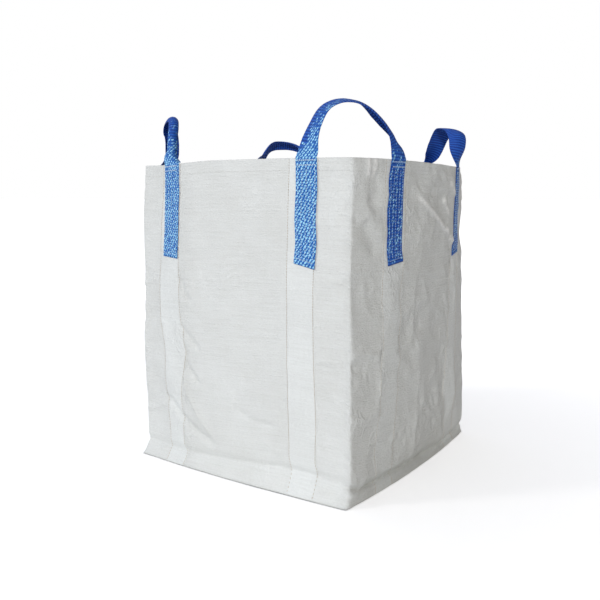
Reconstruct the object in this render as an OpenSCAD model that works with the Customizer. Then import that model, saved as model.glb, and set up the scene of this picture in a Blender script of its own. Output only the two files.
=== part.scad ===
/* [Body] */
// Width and depth of the square body, corner to corner
body_w = 900; // [750:10:1000]
// Height of the body, from the floor to the rim
body_h = 1100; // [900:10:1300]
// How far the front and back faces bow out
bow_front = 36; // [20:1:60]
// How far the left and right faces bow out
bow_side = 87; // [40:1:100]
// How far every face bows out where it meets the floor
bow_base = 17; // [10:1:20]
// Thickness of the woven body fabric
fabric_t = 1.2; // [0.8:0.1:1.6]

/* [Hem and base] */
// Depth of the hem that is folded to the inside of the rim
hem_h = 45; // [30:1:60]
// Height of the crease where the wall folds out over the base seam
crease_z = 60; // [40:1:90]
// How far the wall tucks in at that crease
crease_in = 10; // [6:1:20]
// How far the seam fin stands out past the body's corners
fin_out = 10; // [6:1:14]
// Width of the seam fin, measured across it
fin_w = 16; // [14:1:18]

/* [Webbing] */
// Width of the lifting straps
strap_w = 76; // [50:1:80]
// Thickness of the lifting straps
strap_t = 2.5; // [1.5:0.1:3.5]
// Length of each strap leg that is sewn to a wall
leg_l = 336; // [250:1:400]
// Height of the straight bend zone between the rim and the stiff arch
bend_h = 50; // [45:1:60]
// Height of the fold line of a loop above the rim
fold_h = 35; // [30:1:40]

/* [Reinforcing bands] */
// Width of the reinforcing bands under the strap legs
band_w = 108; // [100:1:120]
// Thickness of the reinforcing bands
band_t = 0.8; // [0.5:0.1:1.2]

/* [Stitching] */
// Width of a stitched line
thread_w = 1.6; // [1:0.1:2]
// Height of a stitched line above the fabric
thread_h = 0.5; // [0.3:0.1:0.8]
// Number of stitched lines along each strap leg
leg_rows = 5; // [3:1:6]

/* [Hidden] */
// Faces, seen from outside, in order: front, right, back, left. Each face starts at its left end.
FACES = ["front", "right", "back", "left"];
// Centres of the two strap legs on each face, and of the two bands, from the face's left end
leg_at = [[157, 742], [200, 740], [160, 740], [160, 740]] * (body_w / 900);
band_at = [[160, 730], [190, 730], [170, 730], [170, 730]] * (body_w / 900);
// How much lower each leg's slanted end is on its right side than on its left
leg_slant = [[7, 17], [-11, -11], [8, -8], [10, -10]];

// Corner loops, each from the right end of one face to the left end of the next
CORNERS = ["front_right", "back_right", "back_left", "front_left"];
// Rise of each arch above the rim, its lean away from the bag in degrees, and how square its top is
arch_rise = [190, 154, 172, 174];
arch_lean = [0, 9, 45, -6];
arch_square = [1.8, 2.4, 1.9, 2.1];
arch_step = 5;

fin_top = 2 * fabric_t;
wall_in = 4;
end_cut = 3;
leg_z = body_h - leg_l;
hem_z = body_h - hem_h;
// Wall section from the fin to the rim: height, outward offset, share of the full bow
above_crease = [crease_z + 100, crease_z + 240, mix(crease_z, body_h, 0.45), leg_z,
    mix(leg_z, hem_z, 0.5), hem_z, body_h];
ROWS = concat(
    [[fin_top, -wall_in, 0], [crease_z / 3, -mix(wall_in, crease_in, 0.5), 0], [crease_z, -crease_in, 0]],
    [for (z = above_crease)
        [z, -crease_in * max(0, 1 - (z - crease_z) / 400), (z - crease_z) / (body_h - crease_z)]]
);
base_row = [0, fin_out, 0];
seam_row = [0, fin_out / 3, 0];

sheet_white = [0.88, 0.89, 0.88];
band_white = [0.93, 0.94, 0.94];
webbing_blue = [0.20, 0.40, 0.78];
thread_white = [0.95, 0.95, 0.92];
thread_tan = [0.72, 0.60, 0.48];

function mix(a, b, k) = a + (b - a) * k;
function bow_of(f) = f % 2 == 0 ? bow_front : bow_side;

// Wall section at height z, read between the rows
function row_index(z) = max([for (i = [0:len(ROWS) - 2]) if (z >= ROWS[i][0] || i == 0) i]);
function row_at(z) =
    let (i = row_index(z), a = ROWS[i], b = ROWS[i + 1], k = (z - a[0]) / (b[0] - a[0]))
    [z, mix(a[1], b[1], k), mix(a[2], b[2], k)];

// Point of the front face at distance u from its left end, on a section row, d proud of it
function face_point(f, u, row, d) =
    let (s = u / body_w, bow = mix(bow_base, bow_of(f), row[2]))
    [(s - 0.5) * (body_w + 2 * row[1]), -(body_w / 2 + row[1] + 4 * bow * s * (1 - s) + d), row[0]];

function turned(p, a) = [p[0] * cos(a) - p[1] * sin(a), p[0] * sin(a) + p[1] * cos(a), p[2]];
function wall_point(f, u, z, d) = turned(face_point(f, u, row_at(z), d), 90 * f);

function leg_edges(f, i) = [leg_at[f][i] - strap_w / 2, leg_at[f][i] + strap_w / 2];
function band_edges(f, i) = [band_at[f][i] - band_w / 2, band_at[f][i] + band_w / 2];

// Room left at a corner for the layers of the neighbouring face
function trim(f, n) = n == 0 && f % 2 == 0 ? 0 : (n + f % 2) * fabric_t + 0.1;

// Columns that every layer on a face shares, so that layers meet without gaps
function face_columns(f) = concat(
    [0, trim(f, 1), 60],
    [for (i = [0, 1]) each [
        band_edges(f, i)[0], leg_edges(f, i)[0], leg_at[f][i], leg_edges(f, i)[1], band_edges(f, i)[1]
    ]],
    [for (k = [0:4]) mix(300, 600, k / 4) * (body_w / 900)],
    [body_w - 60, body_w - trim(f, 1), body_w]
);
function sorted(v) = len(v) <= 1 ? v :
    let (p = v[floor(len(v) / 2)])
    concat(sorted([for (x = v) if (x < p) x]), [p], sorted([for (x = v) if (x > p) x]));
function span(v, a, b) = concat([a], [for (x = sorted(v)) if (x > a + 0.5 && x < b - 0.5) x], [b]);
function cols(f, a, b) = span(face_columns(f), a, b);
function rows(a, b) = span([for (r = ROWS) r[0]], a, b);

// Closed slab between two grids of points with the same layout: a row of points for each height,
// one for each column in cs. Each cell is split along the diagonal that keeps it inside the bowed face.
module slab(outer, inner, cs, nr) {
    nc = len(cs);
    n = nr * nc;
    function cell_faces(a, b, c, d, flip) = flip ? [[a, b, d], [b, c, d]] : [[a, b, c], [a, c, d]];
    outside = [for (j = [0:nr - 2]) for (i = [0:nc - 2])
        let (a = j * nc + i)
        each cell_faces(a, a + nc, a + nc + 1, a + 1, cs[i] + cs[i + 1] < body_w)];
    rim = concat(
        [for (i = [0:nc - 1]) i],
        [for (j = [1:nr - 1]) j * nc + nc - 1],
        [for (i = [nc - 2:-1:0]) (nr - 1) * nc + i],
        [for (j = [nr - 2:-1:1]) j * nc]
    );
    polyhedron(
        concat(outer, inner),
        concat(
            outside,
            [for (t = outside) [n + t[0], n + t[2], n + t[1]]],
            [for (k = [0:len(rim) - 1]) let (a = rim[k], b = rim[(k + 1) % len(rim)])
                each [[a, b, n + b], [a, n + b, n + a]]]
        )
    );
}

// Layer of fabric on face f from column a to b, height z0 to z1, between d0 and d1 proud of the wall.
// With a slant, a cut end hangs below z0: by end_cut, and by the slant more on the right or, if negative, the left.
module layer(f, a, b, z0, z1, d0, d1, slant = 0) {
    cs = cols(f, a, b);
    function cut(u) = let (k = (u - a) / (b - a)) z0 - end_cut - abs(slant) * (slant > 0 ? k : 1 - k);
    heights = concat(
        slant == 0 ? [] : [[for (u = cs) cut(u)]],
        [for (z = rows(z0, z1)) [for (u = cs) z]]
    );
    function grid(d) = [for (h = heights) for (i = [0:len(cs) - 1]) wall_point(f, cs[i], h[i], d)];
    slab(grid(d1), grid(d0), cs, len(heights));
}

module wall(f) {
    color(sheet_white) layer(f, trim(f, 0), body_w - trim(f, 0), fin_top, body_h, -fabric_t, 0);
}

function edge_points(row, f) = [for (u = cols(f, 0, body_w)) let (p = face_point(f, u, row, 0)) [p[0], p[1]]];
function around(row) = [for (f = [0:3]) for (p = edge_points(row, f))
    let (q = turned([p[0], p[1], 0], 90 * f)) [q[0], q[1]]];

module bottom_panel() {
    color(sheet_white) linear_extrude(fabric_t) polygon(around(base_row));
}

// Flat strip along one base edge, between two section rows
module base_strip(f, out_row, in_row, z, t) {
    inner = edge_points(in_row, f);
    translate([0, 0, z]) rotate(90 * f) linear_extrude(t)
        polygon(concat(edge_points(out_row, f), [for (i = [len(inner) - 1:-1:0]) inner[i]]));
}

module fin(f) {
    color(sheet_white) base_strip(f, base_row, base_row - [0, fin_w, 0], fabric_t, fabric_t);
}

module base_seam_stitching() {
    color(thread_white) for (f = [0:3])
        base_strip(f, seam_row + [0, thread_w, 0], seam_row, fin_top, thread_h);
}

module top_hem() {
    color(sheet_white) for (f = [0:3])
        layer(f, trim(f, 1), body_w - trim(f, 1), hem_z, body_h, -2 * fabric_t, -fabric_t);
}

module hem_stitching() {
    z = hem_z + 4;
    color(thread_white) for (f = [0:3]) {
        stops = [5, band_edges(f, 0)[0], band_edges(f, 0)[1], band_edges(f, 1)[0], band_edges(f, 1)[1], body_w - 5];
        for (k = [0, 2, 4]) layer(f, stops[k], stops[k + 1], z, z + thread_w, 0, thread_h);
    }
}

module band(f, i) {
    e = band_edges(f, i);
    color(band_white) layer(f, e[0], e[1], fin_top + 2, body_h, 0, band_t);
}

module band_stitching(f) {
    color(thread_tan) for (i = [0, 1]) {
        e = band_edges(f, i);
        for (u = [e[0] + 0.5, e[1] - 0.5 - thread_w])
            layer(f, u, u + thread_w, fin_top + 6, body_h, band_t, band_t + thread_h);
    }
}

strap_in = band_t;
strap_out = band_t + strap_t;

module leg(f, i) {
    e = leg_edges(f, i);
    color(webbing_blue) layer(f, e[0], e[1], leg_z, body_h, strap_in, strap_out, leg_slant[f][i]);
}

module leg_stitching(f, i) {
    e = leg_edges(f, i);
    color(thread_white) {
        for (k = [0:leg_rows - 1]) {
            u = mix(e[0] + 7, e[1] - 7 - thread_w, k / (leg_rows - 1));
            layer(f, u, u + thread_w, leg_z + 22, body_h - 26, strap_out, strap_out + thread_h);
        }
        for (z = [body_h - 22, body_h - 5])
            layer(f, e[0] + 2, e[1] - 2, z, z + thread_w, strap_out, strap_out + thread_h);
    }
}

// Frame of a corner loop: leg tops, middle, chord direction and outward direction
mid_d = (strap_in + strap_out) / 2;
function loop_start(k) = wall_point(k, leg_at[k][1], body_h, mid_d);
function loop_end(k) = wall_point((k + 1) % 4, leg_at[(k + 1) % 4][0], body_h, mid_d);
function loop_chord(k) = let (v = loop_end(k) - loop_start(k)) v / norm(v);
function loop_out(k) = let (c = loop_chord(k)) [c[1], -c[0], 0];
// Directions towards the corner along each of the two faces
function toward_start(k) = turned([1, 0, 0], 90 * k);
function toward_end(k) = turned([-1, 0, 0], 90 * (k + 1));

function sgn_pow(x, p) = x < 0 ? -pow(-x, p) : pow(x, p);
function smooth(x) = let (t = min(1, max(0, x))) t * t * (3 - 2 * t);

// Upright arch in the plane of the chord: along the chord, and up from the rim
function arch_flat(k, phi) =
    let (half = norm(loop_end(k) - loop_start(k)) / 2, p = 2 / arch_square[k])
    [-half * sgn_pow(cos(phi), p), arch_rise[k] * sgn_pow(sin(phi), p)];

// Turns a point about the fold line of loop k by the share of its lean that height h has
function leaned(k, q, h) =
    let (a = arch_lean[k] * smooth(h / bend_h), y = q[1], z = q[2] - fold_h)
    [q[0], y * cos(a) + z * sin(a), -y * sin(a) + z * cos(a) + fold_h];

function loop_place(k, q) =
    let (m = (loop_start(k) + loop_end(k)) / 2)
    m + q[0] * loop_chord(k) + q[1] * loop_out(k) + [0, 0, q[2]];

// Cross-section of the strap at angle phi: four corners, its width turning from face to face
function strap_ring(k, phi) =
    let (
        e = 0.5,
        lo = max(0, phi - e),
        hi = min(180, phi + e),
        p = arch_flat(k, phi),
        d = arch_flat(k, hi) - arch_flat(k, lo),
        t = [d[0], 0, d[1]] / norm(d),
        c = loop_chord(k),
        o = loop_out(k),
        near = phi < 90 ? toward_start(k) : toward_end(k),
        turn = 1 - smooth(1 - abs(90 - phi) / 90),
        w0 = [turn * near * c, mix(1, near * o, turn), 0],
        w1 = w0 - (w0 * t) * t,
        w = w1 / norm(w1),
        n = cross(t, w),
        half_w = w * strap_w / 2,
        half_t = n * strap_t / 2,
        at = [p[0], 0, p[1]]
    )
    [for (s = [[-1, -1], [1, -1], [1, 1], [-1, 1]])
        loop_place(k, leaned(k, at + s[0] * half_w + s[1] * half_t, p[1]))];

module sweep(rings) {
    n = len(rings);
    polyhedron(
        [for (r = rings) each r],
        concat(
            [[0, 2, 1], [0, 3, 2]],
            [for (j = [0:n - 2]) for (i = [0:3])
                let (a = 4 * j + i, b = 4 * j + (i + 1) % 4) each [[a, b, b + 4], [a, b + 4, a + 4]]],
            [let (a = 4 * (n - 1)) each [[a, a + 1, a + 2], [a, a + 2, a + 3]]]
        )
    );
}

// Angle along the arch at which its height above the rim is h
function angle_at(k, h) = asin(pow(h / arch_rise[k], arch_square[k] / 2));
function steps(a, b) = let (n = ceil(abs(b - a) / arch_step)) [for (i = [0:n]) mix(a, b, i / n)];

module arch(k) {
    a = angle_at(k, bend_h);
    color(webbing_blue) sweep([for (phi = steps(a, 180 - a)) strap_ring(k, phi)]);
}

module bend(k) {
    a = angle_at(k, bend_h);
    color(webbing_blue) {
        sweep([for (phi = steps(0, a)) strap_ring(k, phi)]);
        sweep([for (phi = steps(180 - a, 180)) strap_ring(k, phi)]);
    }
}

SIDES = ["left", "right"];

bottom_panel();
base_seam_stitching();
top_hem();
hem_stitching();
for (f = [0:3]) {
    wall(f);
    fin(f);
    band_stitching(f);
    for (i = [0, 1]) {
        band(f, i);
        leg(f, i);
        leg_stitching(f, i);
    }
}
for (k = [0:3]) {
    bend(k);
    arch(k);
}
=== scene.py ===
import math

import bpy
import numpy as np
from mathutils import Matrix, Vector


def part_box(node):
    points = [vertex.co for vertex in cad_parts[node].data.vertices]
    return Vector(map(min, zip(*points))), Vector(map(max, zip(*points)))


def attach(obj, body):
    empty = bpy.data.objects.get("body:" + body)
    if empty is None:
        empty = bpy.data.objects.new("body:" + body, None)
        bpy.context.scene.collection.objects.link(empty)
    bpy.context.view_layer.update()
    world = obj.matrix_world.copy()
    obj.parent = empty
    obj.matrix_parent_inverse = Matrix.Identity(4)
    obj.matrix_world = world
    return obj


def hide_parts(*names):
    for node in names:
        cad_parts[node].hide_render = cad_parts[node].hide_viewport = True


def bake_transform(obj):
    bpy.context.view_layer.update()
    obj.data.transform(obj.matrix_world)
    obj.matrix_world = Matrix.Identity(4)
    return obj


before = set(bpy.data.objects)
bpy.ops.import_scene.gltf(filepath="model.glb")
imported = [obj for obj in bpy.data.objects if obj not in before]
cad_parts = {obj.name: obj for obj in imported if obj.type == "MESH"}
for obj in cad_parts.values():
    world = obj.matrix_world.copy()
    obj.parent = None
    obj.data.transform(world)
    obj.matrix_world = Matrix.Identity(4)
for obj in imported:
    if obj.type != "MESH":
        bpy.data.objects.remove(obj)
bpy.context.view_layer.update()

# Lengths in this script are in millimetres; meshes and positions go to Blender in metres.
MM = 0.001
FACES = ["front", "right", "back", "left"]
SIDES = ["left", "right"]
CORNERS = ["front_right", "back_right", "back_left", "front_left"]


def node_box(name):
    """Lowest and highest corner of a CAD node, in millimetres."""
    lo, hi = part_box(name)
    return np.array(lo) / MM, np.array(hi) / MM


# ---- sizes, read from the frame
WIDTH = node_box("wall_front")[1][0] - node_box("wall_front")[0][0]
HEIGHT = node_box("wall_front")[1][2]
ROUND = 4 * WIDTH
# How far the seam fin reaches out, and how far the faces bow out at the base and at the rim
FIN_REACH = 10
BOW_BASE = -node_box("bottom_panel")[0][1] - WIDTH / 2 - FIN_REACH
BOW_TOP = [-node_box("wall_front")[0][1] - WIDTH / 2, node_box("wall_right")[1][0] - WIDTH / 2] * 2
# Section row of the crease above the foot, how far in it lies, and how high the wall is back out
CREASE = 60
CREASE_IN = 10
CREASE_EASE = 400
HEM = 45
STRAP_W = 76
STRAP_T = 2.5
BAND_W = 108
# Outer side of the bands, and inner side of the strap legs, above the wall
BAND_LIFT = 1.1
LEG_LIFT = 2.3


def along_face(face, node):
    """Centre of a CAD node on a face, from the face's left end seen from outside."""
    lo, hi = node_box(node)
    axis = face % 2
    centre = (lo[axis] + hi[axis]) / 2
    return WIDTH / 2 + (centre if face < 2 else -centre)


LEG_AT = [[along_face(f, f"leg_{FACES[f]}_{s}") for s in SIDES] for f in range(4)]
BAND_AT = [[along_face(f, f"band_{FACES[f]}_{s}") for s in SIDES] for f in range(4)]
LEG_END = [[node_box(f"leg_{FACES[f]}_{s}")[0][2] for s in SIDES] for f in range(4)]
# How much lower each leg's cut end is on its right side, as in the CAD legs
LEG_SLANT = [[7, 17], [-11, -11], [8, -8], [10, -10]]


# ---- small helpers
def mix(a, b, k):
    return a + (b - a) * k


def smooth(x):
    """Eases from 0 at x = 0 to 1 at x = 1."""
    t = np.clip(x, 0, 1)
    return t * t * (3 - 2 * t)


def unit(vectors):
    return vectors / np.linalg.norm(vectors, axis=-1, keepdims=True)


def table(x, values):
    """Straight-line reading of a short table {place: value}."""
    return np.interp(x, list(values), list(values.values()))


def round_table(p, per_face):
    """The same, all the way round the bag, from a table along each face."""
    places = [f * WIDTH + u for f in range(4) for u in per_face[f]]
    values = [value for f in range(4) for value in per_face[f].values()]
    return np.interp(np.mod(p, ROUND), places, values, period=ROUND)


def on_face(p, face):
    """Distance along a face of a place round the bag, below 0 or past WIDTH beyond the face's ends."""
    return np.mod(p - face * WIDTH + WIDTH, ROUND) - WIDTH


def turned(xy, quarter):
    """Turns points of the front face by quarter turns about the bag's axis."""
    x, y = xy
    return [(x, y), (-y, x), (-x, -y), (y, -x)][quarter % 4]


# ---- shape of the body's sections
# Height of the crease above the base seam, for each face
CREASE_Z = [
    {0: 54, 200: 50, 470: 66, 670: 80, 780: 76, 880: 70},
    {0: 60, 30: 46, 143: 31, 380: 25, 665: 22, 850: 27, 890: 34},
    {0: 42, 160: 56, 420: 48, 700: 62, 880: 54},
    {0: 52, 200: 64, 450: 58, 720: 50, 880: 52},
]
# Depth of the fold at that crease
TUCK = [
    {0: 3, 200: 8, 500: 7, 760: 9, 890: 5},
    {10: 12, 60: 19, 200: 18, 400: 15, 700: 11, 890: 6},
    {10: 5, 450: 8, 890: 4},
    {10: 4, 450: 6, 890: 2},
]
# Rim height against the CAD rim
RIM_DZ = [
    {0: -5, 100: -6, 190: -3, 250: 0, 340: 4, 680: 3},
    {0: 0, 150: 0, 300: -2, 450: -5, 650: -7, 850: -3},
    {0: -2, 300: 3, 600: 2, 800: -3},
    {0: -3, 300: 2, 600: 4, 800: -2},
]
# Outward shift of each face's left and right end, at heights up the wall
LEFT_END = [
    {0: 0, 60: 0, 1100: 0},
    {0: -21, 14: -12, 60: 4, 300: 1, 717: 0, 1100: 7},
    {0: 4, 60: 16, 300: 12, 550: 8, 1100: 0},
    {0: 2, 60: 6, 400: -4, 1100: 2},
]
RIGHT_END = [
    {0: 5, 60: 2, 1100: 0},
    {0: -3, 60: 17, 300: 10, 550: 6, 1100: 2},
    {0: 2, 60: 4, 500: 6, 1100: 0},
    {0: 0, 60: 14, 300: 11, 717: 9, 1100: 3},
]
# The foot up to the crease: share of the crease's height and outward offset, by section row
FOOT_Z = {0: 0.045, 5: 0.06, 10: 0.11, 16: 0.20, 24: 0.34, 36: 0.57, 48: 0.79, 60: 1}
FOOT_OUT = {0: FIN_REACH, 5: 8, 10: 6, 16: 3.5, 24: 0, 36: -4.5, 48: -8, 60: -10}
# Reach of the crease's tuck above and below it
TUCK_ABOVE, TUCK_BELOW = 15.0, 9.0


def common_out(v):
    """Outward offset of every wall at height v: the fin and the foot below the crease, the wall above."""
    above = -CREASE_IN * np.maximum(0, 1 - (v - CREASE) / CREASE_EASE)
    return np.where(v < CREASE, table(v, FOOT_OUT), above)


def outward(face, s, v):
    """Outward distance of a face from the square of the body, at share s of its width."""
    bow = mix(BOW_BASE, BOW_TOP[face], np.maximum(0, v - CREASE) / (HEIGHT - CREASE))
    reach = (v - CREASE) / np.where(v > CREASE, TUCK_ABOVE, TUCK_BELOW)
    tuck = round_table(face * WIDTH + s * WIDTH, TUCK) * np.exp(-reach ** 2)
    ends = table(v, LEFT_END[face]) * (1 - s) ** 3 + table(v, RIGHT_END[face]) * s ** 3
    return common_out(v) + 4 * bow * s * (1 - s) - tuck + ends


def height_of(p, v):
    """Real height of the section row v at place p round the bag."""
    crease = round_table(p, CREASE_Z)
    wall = crease + (v - CREASE) * (HEIGHT - crease) / (HEIGHT - CREASE)
    rim = round_table(p, RIM_DZ) * smooth((v - 0.55 * HEIGHT) / (0.4 * HEIGHT))
    return np.where(v < CREASE, crease * table(v, FOOT_Z), wall + rim)


def row_of(p, z):
    """Section row that reaches height z on the wall."""
    crease = round_table(p, CREASE_Z)
    return CREASE + (z - crease) * (HEIGHT - CREASE) / (HEIGHT - crease)


# ---- folds, dents and creases
class Waves:
    """Smooth random field round the bag: a seeded sum of waves that closes on itself.

    A flat below 1 stretches its shapes upright."""

    def __init__(self, seed, shortest, longest, count, flat=1.0):
        rng = np.random.default_rng(seed)
        self.parts = []
        for _ in range(count):
            length = rng.uniform(shortest, longest)
            angle = rng.uniform(0, math.pi)
            turns = round(ROUND * math.cos(angle) / length)
            rise = 2 * math.pi * math.sin(angle) / length * flat
            self.parts.append((turns, rise, rng.uniform(0, 2 * math.pi)))
        self.scale = 1 / math.sqrt(count / 2)

    def __call__(self, p, v):
        angle = 2 * math.pi * p / ROUND
        waves = (np.sin(turns * angle + rise * v + phase) for turns, rise, phase in self.parts)
        return sum(waves) * self.scale


SHARP, SOFT = 0, 1
# How much deeper than drawn the creases of each face are
FOLD_GAIN = [1.7, 1.0, 1.4, 1.4]
# Creases on each face: height, width to the left and right of the path, sharp or soft, path of (u, v)
FOLDS = {
    0: [
        (-7, 14, 14, SOFT, [(100, 268), (150, 226), (190, 190), (280, 132), (385, 92)]),
        (7, 12, 9, SHARP, [(205, 350), (232, 269), (285, 190), (352, 128)]),
        (-5, 8, 11, SOFT, [(228, 445), (231, 370), (262, 338), (300, 300)]),
        (-5, 10, 10, SOFT, [(192, 525), (265, 455), (300, 430)]),
        (-5, 10, 10, SOFT, [(196, 700), (228, 630), (265, 590)]),
        (3, 6, 8, SHARP, [(-10, 640), (35, 660), (75, 684)]),
        (4, 7, 8, SHARP, [(-8, 172), (60, 190), (125, 220)]),
        (5, 6, 7, SHARP, [(0, 14), (70, 38), (132, 62)]),
        (3, 7, 9, SHARP, [(770, 438), (815, 446), (870, 438)]),
        (3, 9, 12, SHARP, [(905, 730), (860, 700), (800, 694)]),
        (-3, 9, 9, SOFT, [(420, 260), (520, 210), (640, 190)]),
        (3, 9, 7, SHARP, [(560, 150), (600, 120), (655, 104)]),
    ],
    1: [
        (6, 8, 6, SHARP, [(56, 1125), (60, 1080), (62, 1030)]),
        (6, 8, 6, SHARP, [(90, 1125), (88, 1075), (84, 1030)]),
        (3, 9, 9, SHARP, [(118, 1125), (116, 1070), (112, 1035)]),
        (-9, 24, 30, SOFT, [(92, 1075), (98, 1020), (96, 970), (84, 930)]),
        (-7, 26, 26, SOFT, [(36, 905), (66, 880), (92, 840), (116, 780)]),
        (7, 26, 30, SOFT, [(6, 965), (60, 935), (120, 890), (146, 830)]),
        (13, 36, 8, SHARP, [(275, 1012), (415, 941), (529, 888), (600, 862), (700, 816), (800, 812)]),
        (-12, 52, 52, SOFT, [(262, 1075), (377, 1014), (500, 965), (640, 925)]),
        (8, 50, 50, SOFT, [(420, 1090), (560, 1050), (700, 1010)]),
        (8, 16, 8, SHARP, [(590, 1046), (650, 1018), (715, 984)]),
        (7, 14, 8, SHARP, [(560, 985), (628, 923)]),
        (5, 14, 14, SHARP, [(470, 912), (440, 868), (410, 812)]),
        (4, 12, 12, SHARP, [(345, 892), (333, 850), (338, 815)]),
        (5, 14, 14, SHARP, [(235, 752), (290, 776), (360, 802)]),
        (7, 20, 20, SHARP, [(392, 712), (425, 665), (462, 610)]),
        (4, 12, 12, SHARP, [(112, 772), (86, 735), (116, 702), (92, 650)]),
        (9, 12, 16, SHARP, [(-14, 462), (35, 490), (90, 486), (150, 470)]),
        (-7, 22, 22, SOFT, [(-4, 440), (34, 448), (80, 436)]),
        (6, 14, 14, SHARP, [(-12, 276), (60, 282), (155, 302)]),
        (15, 74, 66, SHARP, [(366, 560), (384, 430), (392, 340), (383, 250), (382, 170), (392, 40)]),
        (6, 14, 14, SHARP, [(290, 384), (345, 395), (394, 412)]),
        (8, 26, 34, SHARP, [(590, 404), (510, 330), (430, 250)]),
        (-10, 40, 40, SOFT, [(610, 470), (640, 340), (670, 250), (720, 176), (690, 90)]),
        (9, 20, 40, SHARP, [(730, 430), (755, 300), (800, 170)]),
        (5, 16, 18, SHARP, [(150, 560), (128, 470), (146, 380), (136, 240)]),
        (10, 9, 12, SHARP, [(-60, 24), (-10, 36), (40, 52), (96, 84)]),
        (7, 18, 24, SHARP, [(560, 760), (620, 690), (640, 600), (700, 540)]),
        (6, 16, 22, SHARP, [(760, 760), (720, 700), (760, 620), (740, 520)]),
    ],
    2: [
        (8, 10, 14, SHARP, [(250, 1010), (350, 930), (470, 880), (590, 850)]),
        (-8, 30, 30, SOFT, [(300, 1040), (420, 960), (560, 920)]),
        (9, 12, 44, SHARP, [(470, 560), (455, 430), (470, 300), (450, 120)]),
        (-7, 24, 24, SOFT, [(110, 520), (130, 380), (90, 250), (120, 130)]),
        (5, 8, 8, SHARP, [(620, 640), (690, 600), (760, 610)]),
        (5, 8, 10, SHARP, [(-10, 700), (70, 720), (150, 700)]),
        (-6, 20, 20, SOFT, [(820, 900), (790, 780), (830, 640)]),
        (5, 8, 8, SHARP, [(560, 330), (640, 280), (720, 170)]),
        (4, 7, 7, SHARP, [(880, 360), (820, 330), (760, 345)]),
    ],
    3: [
        (8, 10, 16, SHARP, [(640, 1030), (560, 940), (450, 880), (330, 850)]),
        (-9, 34, 34, SOFT, [(600, 1060), (480, 990), (360, 950)]),
        (-8, 24, 24, SOFT, [(780, 620), (750, 480), (790, 330), (740, 180)]),
        (9, 36, 12, SHARP, [(300, 620), (320, 470), (300, 330), (315, 110)]),
        (5, 8, 8, SHARP, [(905, 430), (830, 452), (760, 430)]),
        (5, 8, 8, SHARP, [(-10, 520), (60, 500), (150, 516)]),
        (4, 8, 8, SHARP, [(460, 420), (540, 350), (580, 250)]),
        (4, 7, 7, SHARP, [(100, 300), (170, 250), (260, 236)]),
    ],
}
# Broad bulges (+) and dents (-) on each face: height, centre (u, v), half sizes
BULGES = {
    0: [(8, 155, 322, 46, 62), (-5, 470, 640, 170, 220), (5, 600, 330, 130, 110), (4, 300, 900, 120, 90),
        (-4, 860, 560, 60, 180), (3, 860, 180, 70, 90)],
    1: [(5, 215, 728, 50, 44), (-7, 560, 560, 150, 130), (6, 250, 480, 120, 120), (5, 800, 700, 80, 110),
        (-5, 60, 640, 60, 130), (6, 520, 160, 110, 80), (-5, 150, 150, 90, 70)],
    2: [(-8, 450, 620, 180, 170), (6, 250, 300, 110, 120), (5, 700, 460, 110, 120), (5, 330, 760, 120, 90)],
    3: [(-8, 520, 640, 170, 160), (6, 200, 400, 110, 130), (5, 620, 300, 120, 100), (-5, 130, 800, 80, 120)],
}
# How crumpled the fabric is on each face, from its left end
CRUMPLED = [
    {0: 0.9, 230: 1.1, 330: 0.6, 640: 0.5, 860: 0.7},
    {0: 1.2, 300: 1.6, 880: 1.8},
    {100: 0.9, 800: 0.9},
    {100: 0.9, 800: 0.8},
]


def crumpling(p):
    """How rough the cloth's surface is at a place round the bag: 0 smooth, 1 well crinkled. The cloth's
    paint also scales its painted shade by it.
    """
    return np.clip((round_table(p, CRUMPLED) - 0.8) / 0.7, 0, 1)


# Seed, shortest and longest wave, count and flatness
broad_waves = Waves(3, 380, 900, 14)
middle_waves = Waves(5, 150, 320, 16, 0.8)
ridge_waves = Waves(7, 120, 300, 14, 0.8)
small_ridges = Waves(11, 45, 110, 18)
fine_waves = Waves(13, 24, 52, 18)
patch_waves = Waves(17, 260, 520, 12)


# How far past the ends of its face a fold still shows
FOLD_PAST = 150


def path_reach(path, x, y):
    """Distance of points from a path, which side of it they are on, and how far along it."""
    lengths = [math.dist(path[i], path[i + 1]) for i in range(len(path) - 1)]
    best = np.full(x.shape, 1e9)
    side = np.zeros(x.shape)
    share = np.zeros(x.shape)
    done = 0
    for (ax, ay), (bx, by), length in zip(path, path[1:], lengths):
        t = np.clip(((x - ax) * (bx - ax) + (y - ay) * (by - ay)) / length ** 2, 0, 1)
        gap = np.hypot(x - ax - t * (bx - ax), y - ay - t * (by - ay))
        nearer = gap < best
        turn = (bx - ax) * (y - ay) - (by - ay) * (x - ax)
        best = np.where(nearer, gap, best)
        side = np.where(nearer, turn, side)
        share = np.where(nearer, (done + t * length) / sum(lengths), share)
        done += length
    return best, side, share


def designed_folds(p, v):
    """Height of the placed creases and bulges; a fold near a corner carries on round it."""
    total = np.zeros(p.shape)
    for face in range(4):
        u = on_face(p, face)
        near = (u > -FOLD_PAST) & (u < WIDTH + FOLD_PAST)
        un, vn = u[near], v[near]
        here = np.zeros(un.shape)
        for height, left, right, soft, path in FOLDS[face]:
            gap, side, share = path_reach(path, un, vn)
            reach = gap / np.where(side > 0, left, right)
            fade = smooth(np.minimum(share, 1 - share) / 0.22)
            here += FOLD_GAIN[face] * height * fade * (np.exp(-reach ** 2) if soft else np.exp(-reach))
        for height, cu, cv, ru, rv in BULGES[face]:
            here += height * np.exp(-((un - cu) / ru) ** 2 - ((vn - cv) / rv) ** 2)
        total[near] += here
    return total


# A crease at least this high, with a flank at most this wide, gets a painted highlight along it,
# in a line of this half width, seen this far past the ends of its face
CREASE_HIGHLIGHT_HEIGHT = 6
CREASE_HIGHLIGHT_FLANK = 8
CREASE_HIGHLIGHT_LINE = 6
CREASE_HIGHLIGHT_PAST = 60


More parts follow.
